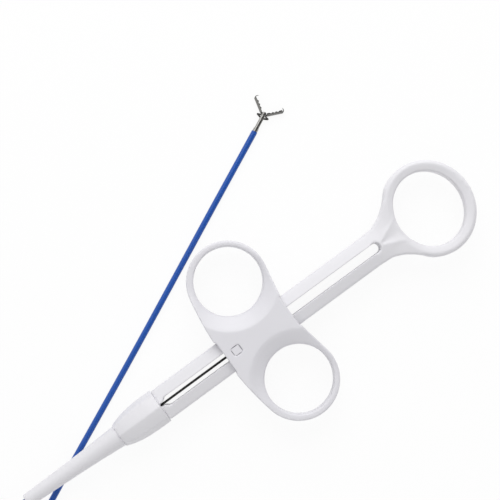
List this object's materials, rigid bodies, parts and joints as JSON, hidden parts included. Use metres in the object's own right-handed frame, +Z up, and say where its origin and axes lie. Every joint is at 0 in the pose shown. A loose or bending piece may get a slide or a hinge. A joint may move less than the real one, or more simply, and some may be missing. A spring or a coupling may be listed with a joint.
{
  "type": "foreign body forceps",
  "caption": "Ring-handled flexible grasping forceps with a sliding finger spool, a long thin sheath and hooked alligator jaws worked by a small linkage.",
  "frame": {"origin": "on the surface that the part lies on, under the middle of the finger spool with the jaws fully open", "axes": "+X along the handle towards the thumb ring, +Z up from the surface, +Y towards the side where the jaws lie"},
  "size_m": [0.284, 0.1114, 0.0144],
  "materials": {
    "frame_plastic": "satin",
    "cap_plastic": "satin",
    "boot_plastic": "satin",
    "spool_plastic": "satin",
    "bush_brass": "turned",
    "steel": "polished",
    "sheath_blue": "smooth, slightly glossy"
  },
  "bodies": {
    "handle": {"handle_frame": "frame_plastic", "nose_cap": "cap_plastic", "strain_relief": "boot_plastic", "stem_bush": "bush_brass", "sheath_crimp": "bush_brass", "sheath_lead": "sheath_blue", "sheath_coil": "sheath_blue", "sheath_run": "sheath_blue", "tip_ferrule": "steel", "tip_clevis": "steel", "jaw_pivot_pin": "steel"},
    "spool": {"finger_spool": "spool_plastic", "slider_core": "spool_plastic", "wire_clamp_screw": "steel", "stiffening_tube": "steel", "pull_wire": "steel"},
    "drive_rod": {"drive_fork": "steel", "drive_wire": "steel"},
    "left_jaw": {"jaw_left": "steel", "link_rivet_left": "steel"},
    "right_jaw": {"jaw_right": "steel", "link_rivet_right": "steel"},
    "left_link": {"link_left": "steel", "drive_pin": "steel"},
    "right_link": {"link_right": "steel"}
  },
  "joints": [
    {"name": "spool_slide", "type": "slide", "parent": "handle", "child": "spool", "axis": [1, 0, 0], "range_m": [0, 0.00263]},
    {"name": "drive_slide", "type": "slide", "parent": "handle", "child": "drive_rod", "axis": [-0.9011, -0.4337, 0], "range_m": [0, 0.00263]},
    {"name": "jaw_left_hinge", "type": "hinge", "parent": "handle", "child": "left_jaw", "pos_m": [0.04833, 0.065, 0.00115], "axis": [0, 0, -1], "range_deg": [0, 50]},
    {"name": "jaw_right_hinge", "type": "hinge", "parent": "handle", "child": "right_jaw", "pos_m": [0.04833, 0.065, 0.00115], "axis": [0, 0, 1], "range_deg": [0, 50]},
    {"name": "link_left_hinge", "type": "hinge", "parent": "left_jaw", "child": "left_link", "pos_m": [0.04846, 0.0627, 0.00115], "axis": [0, 0, 1], "range_deg": [0, 100]},
    {"name": "link_right_hinge", "type": "hinge", "parent": "right_jaw", "child": "right_link", "pos_m": [0.04662, 0.06653, 0.00115], "axis": [0, 0, -1], "range_deg": [0, 100]}
  ],
  "couplings": [
    {"joint": "drive_slide", "follows": "spool_slide", "ratio": 1},
    {"joint": "jaw_left_hinge", "follows": "spool_slide", "rad_per_m": 332.32},
    {"joint": "jaw_right_hinge", "follows": "spool_slide", "rad_per_m": 332.32},
    {"joint": "link_left_hinge", "follows": "spool_slide", "rad_per_m": 664.63},
    {"joint": "link_right_hinge", "follows": "spool_slide", "rad_per_m": 664.63}
  ]
}
